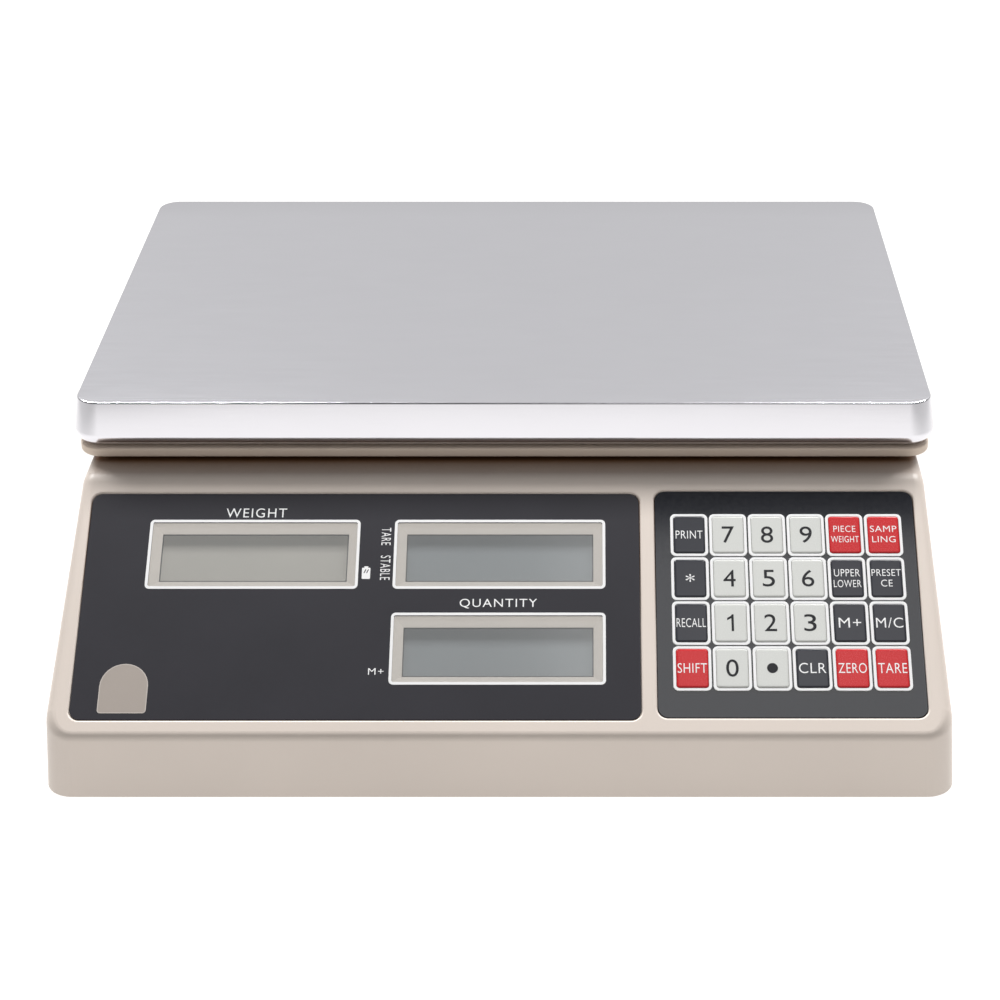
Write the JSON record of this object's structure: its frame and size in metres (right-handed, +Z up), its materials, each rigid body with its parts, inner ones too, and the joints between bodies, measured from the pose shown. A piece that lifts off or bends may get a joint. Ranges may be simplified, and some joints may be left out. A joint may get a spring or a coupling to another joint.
{
  "type": "counting scale",
  "caption": "Counting scale with a stainless pan on a raised deck and a sloped panel with display windows and an embossed membrane keypad.",
  "frame": {"origin": "on the standing surface under the middle of the outline, feet screwed fully in", "axes": "+X to the user's right along the width, +Y from the operating panel to the rear, +Z up"},
  "size_m": [0.341, 0.3326, 0.116],
  "materials": {
    "housing_abs": "fine moulded texture",
    "base_abs": "fine moulded texture",
    "tray_abs": "fine moulded texture",
    "zinc_screws": "zinc plated",
    "overlay_matte": "velvet print",
    "overlay_gloss": "gloss film",
    "lcd_module": "polarised glass, unlit",
    "circuit_board": "solder mask",
    "circuit_film": "printed film",
    "battery_case": "moulded",
    "core_steel": "varnished laminations",
    "connector_black": "moulded",
    "connector_plate": "tin plated",
    "rocker_black": "satin",
    "cell_aluminium": "machined",
    "bracket_aluminium": "cast",
    "black_bolts": "black oxide",
    "level_vial": "clear vial",
    "wire_sleeve": "soft sleeve",
    "pan_steel": "fine satin",
    "foot_rubber": "moulded",
    "wheel_plastic": "knurled",
    "key_white": "embossed film",
    "key_black": "embossed film",
    "key_red": "embossed film"
  },
  "bodies": {
    "base": {"upper_housing": "housing_abs", "base_housing": "base_abs", "battery_door": "base_abs", "housing_screws": "zinc_screws", "display_overlay": "overlay_matte", "lcd_weight": "lcd_module", "lcd_unit_weight": "lcd_module", "lcd_quantity": "lcd_module", "display_board": "circuit_board", "keypad_overlay": "overlay_gloss", "keypad_circuit": "circuit_film", "main_board": "circuit_board", "battery": "battery_case", "transformer": "core_steel", "mains_inlet": "connector_black", "serial_port": "connector_plate", "switch_body": "connector_black", "load_cell": "cell_aluminium", "load_cell_bolts": "black_bolts", "overload_stops": "zinc_screws", "bubble_level": "level_vial", "wiring": "wire_sleeve"},
    "platform": {"pan_tray": "tray_abs", "pan_cushions": "foot_rubber", "platform_bracket": "bracket_aluminium", "platform_bolts": "black_bolts"},
    "pan": {"steel_pan": "pan_steel"},
    "rocker": {"switch_rocker": "rocker_black"},
    "foot_pad_front_left": {"foot_pad_front_left": "foot_rubber"},
    "foot_wheel_front_left": {"foot_wheel_front_left": "wheel_plastic"},
    "foot_pad_front_right": {"foot_pad_front_right": "foot_rubber"},
    "foot_wheel_front_right": {"foot_wheel_front_right": "wheel_plastic"},
    "foot_pad_rear_left": {"foot_pad_rear_left": "foot_rubber"},
    "foot_wheel_rear_left": {"foot_wheel_rear_left": "wheel_plastic"},
    "foot_pad_rear_right": {"foot_pad_rear_right": "foot_rubber"},
    "foot_wheel_rear_right": {"foot_wheel_rear_right": "wheel_plastic"},
    "key_print": {"key_print": "key_black"},
    "key_7": {"key_7": "key_white"},
    "key_8": {"key_8": "key_white"},
    "key_9": {"key_9": "key_white"},
    "key_piece_weight": {"key_piece_weight": "key_red"},
    "key_sampling": {"key_sampling": "key_red"},
    "key_star": {"key_star": "key_black"},
    "key_4": {"key_4": "key_white"},
    "key_5": {"key_5": "key_white"},
    "key_6": {"key_6": "key_white"},
    "key_limits": {"key_limits": "key_black"},
    "key_preset_clear": {"key_preset_clear": "key_black"},
    "key_recall": {"key_recall": "key_black"},
    "key_1": {"key_1": "key_white"},
    "key_2": {"key_2": "key_white"},
    "key_3": {"key_3": "key_white"},
    "key_memory_add": {"key_memory_add": "key_black"},
    "key_memory_clear": {"key_memory_clear": "key_black"},
    "key_shift": {"key_shift": "key_red"},
    "key_0": {"key_0": "key_white"},
    "key_point": {"key_point": "key_white"},
    "key_clear": {"key_clear": "key_black"},
    "key_zero": {"key_zero": "key_red"},
    "key_tare": {"key_tare": "key_red"}
  },
  "joints": [
    {"name": "foot_height_front_left", "type": "slide", "parent": "base", "child": "foot_pad_front_left", "axis": [0, 0, -1], "range_m": [0, 0.008]},
    {"name": "foot_turn_front_left", "type": "hinge", "parent": "foot_pad_front_left", "child": "foot_wheel_front_left", "pos_m": [-0.145, -0.141, 0.01], "axis": [0, 0, -1], "range_deg": [0, 2300]},
    {"name": "foot_height_front_right", "type": "slide", "parent": "base", "child": "foot_pad_front_right", "axis": [0, 0, -1], "range_m": [0, 0.008]},
    {"name": "foot_turn_front_right", "type": "hinge", "parent": "foot_pad_front_right", "child": "foot_wheel_front_right", "pos_m": [0.145, -0.141, 0.01], "axis": [0, 0, -1], "range_deg": [0, 2300]},
    {"name": "foot_height_rear_left", "type": "slide", "parent": "base", "child": "foot_pad_rear_left", "axis": [0, 0, -1], "range_m": [0, 0.008]},
    {"name": "foot_turn_rear_left", "type": "hinge", "parent": "foot_pad_rear_left", "child": "foot_wheel_rear_left", "pos_m": [-0.145, 0.141, 0.01], "axis": [0, 0, -1], "range_deg": [0, 2300]},
    {"name": "foot_height_rear_right", "type": "slide", "parent": "base", "child": "foot_pad_rear_right", "axis": [0, 0, -1], "range_m": [0, 0.008]},
    {"name": "foot_turn_rear_right", "type": "hinge", "parent": "foot_pad_rear_right", "child": "foot_wheel_rear_right", "pos_m": [0.145, 0.141, 0.01], "axis": [0, 0, -1], "range_deg": [0, 2300]},
    {"name": "platform_deflection", "type": "slide", "parent": "base", "child": "platform", "axis": [0, 0, -1], "range_m": [0, 0.0005], "stiffness_N_per_m": 200000, "springref_m": -0.0002, "deforming": ["load_cell"]},
    {"name": "pan_lift", "type": "slide", "parent": "platform", "child": "pan", "axis": [0, 0, 1], "range_m": [0, 0.06]},
    {"name": "power_rocker", "type": "hinge", "parent": "base", "child": "rocker", "pos_m": [-0.078, 0.1614, 0.028], "axis": [-1, 0, 0], "range_deg": [0, 14]},
    {"name": "press_print", "type": "slide", "parent": "base", "child": "key_print", "axis": [0, 0.5541, -0.8324], "range_m": [0, 0.0004], "stiffness_N_per_m": 3000, "springref_m": -0.0001},
    {"name": "press_7", "type": "slide", "parent": "base", "child": "key_7", "axis": [0, 0.5541, -0.8324], "range_m": [0, 0.0004], "stiffness_N_per_m": 3000, "springref_m": -0.0001},
    {"name": "press_8", "type": "slide", "parent": "base", "child": "key_8", "axis": [0, 0.5541, -0.8324], "range_m": [0, 0.0004], "stiffness_N_per_m": 3000, "springref_m": -0.0001},
    {"name": "press_9", "type": "slide", "parent": "base", "child": "key_9", "axis": [0, 0.5541, -0.8324], "range_m": [0, 0.0004], "stiffness_N_per_m": 3000, "springref_m": -0.0001},
    {"name": "press_piece_weight", "type": "slide", "parent": "base", "child": "key_piece_weight", "axis": [0, 0.5541, -0.8324], "range_m": [0, 0.0004], "stiffness_N_per_m": 3000, "springref_m": -0.0001},
    {"name": "press_sampling", "type": "slide", "parent": "base", "child": "key_sampling", "axis": [0, 0.5541, -0.8324], "range_m": [0, 0.0004], "stiffness_N_per_m": 3000, "springref_m": -0.0001},
    {"name": "press_star", "type": "slide", "parent": "base", "child": "key_star", "axis": [0, 0.5541, -0.8324], "range_m": [0, 0.0004], "stiffness_N_per_m": 3000, "springref_m": -0.0001},
    {"name": "press_4", "type": "slide", "parent": "base", "child": "key_4", "axis": [0, 0.5541, -0.8324], "range_m": [0, 0.0004], "stiffness_N_per_m": 3000, "springref_m": -0.0001},
    {"name": "press_5", "type": "slide", "parent": "base", "child": "key_5", "axis": [0, 0.5541, -0.8324], "range_m": [0, 0.0004], "stiffness_N_per_m": 3000, "springref_m": -0.0001},
    {"name": "press_6", "type": "slide", "parent": "base", "child": "key_6", "axis": [0, 0.5541, -0.8324], "range_m": [0, 0.0004], "stiffness_N_per_m": 3000, "springref_m": -0.0001},
    {"name": "press_limits", "type": "slide", "parent": "base", "child": "key_limits", "axis": [0, 0.5541, -0.8324], "range_m": [0, 0.0004], "stiffness_N_per_m": 3000, "springref_m": -0.0001},
    {"name": "press_preset_clear", "type": "slide", "parent": "base", "child": "key_preset_clear", "axis": [0, 0.5541, -0.8324], "range_m": [0, 0.0004], "stiffness_N_per_m": 3000, "springref_m": -0.0001},
    {"name": "press_recall", "type": "slide", "parent": "base", "child": "key_recall", "axis": [0, 0.5541, -0.8324], "range_m": [0, 0.0004], "stiffness_N_per_m": 3000, "springref_m": -0.0001},
    {"name": "press_1", "type": "slide", "parent": "base", "child": "key_1", "axis": [0, 0.5541, -0.8324], "range_m": [0, 0.0004], "stiffness_N_per_m": 3000, "springref_m": -0.0001},
    {"name": "press_2", "type": "slide", "parent": "base", "child": "key_2", "axis": [0, 0.5541, -0.8324], "range_m": [0, 0.0004], "stiffness_N_per_m": 3000, "springref_m": -0.0001},
    {"name": "press_3", "type": "slide", "parent": "base", "child": "key_3", "axis": [0, 0.5541, -0.8324], "range_m": [0, 0.0004], "stiffness_N_per_m": 3000, "springref_m": -0.0001},
    {"name": "press_memory_add", "type": "slide", "parent": "base", "child": "key_memory_add", "axis": [0, 0.5541, -0.8324], "range_m": [0, 0.0004], "stiffness_N_per_m": 3000, "springref_m": -0.0001},
    {"name": "press_memory_clear", "type": "slide", "parent": "base", "child": "key_memory_clear", "axis": [0, 0.5541, -0.8324], "range_m": [0, 0.0004], "stiffness_N_per_m": 3000, "springref_m": -0.0001},
    {"name": "press_shift", "type": "slide", "parent": "base", "child": "key_shift", "axis": [0, 0.5541, -0.8324], "range_m": [0, 0.0004], "stiffness_N_per_m": 3000, "springref_m": -0.0001},
    {"name": "press_0", "type": "slide", "parent": "base", "child": "key_0", "axis": [0, 0.5541, -0.8324], "range_m": [0, 0.0004], "stiffness_N_per_m": 3000, "springref_m": -0.0001},
    {"name": "press_point", "type": "slide", "parent": "base", "child": "key_point", "axis": [0, 0.5541, -0.8324], "range_m": [0, 0.0004], "stiffness_N_per_m": 3000, "springref_m": -0.0001},
    {"name": "press_clear", "type": "slide", "parent": "base", "child": "key_clear", "axis": [0, 0.5541, -0.8324], "range_m": [0, 0.0004], "stiffness_N_per_m": 3000, "springref_m": -0.0001},
    {"name": "press_zero", "type": "slide", "parent": "base", "child": "key_zero", "axis": [0, 0.5541, -0.8324], "range_m": [0, 0.0004], "stiffness_N_per_m": 3000, "springref_m": -0.0001},
    {"name": "press_tare", "type": "slide", "parent": "base", "child": "key_tare", "axis": [0, 0.5541, -0.8324], "range_m": [0, 0.0004], "stiffness_N_per_m": 3000, "springref_m": -0.0001}
  ],
  "couplings": [
    {"joint": "foot_height_front_left", "follows": "foot_turn_front_left", "m_per_rad": 0.00019894},
    {"joint": "foot_height_front_right", "follows": "foot_turn_front_right", "m_per_rad": 0.00019894},
    {"joint": "foot_height_rear_left", "follows": "foot_turn_rear_left", "m_per_rad": 0.00019894},
    {"joint": "foot_height_rear_right", "follows": "foot_turn_rear_right", "m_per_rad": 0.00019894}
  ]
}
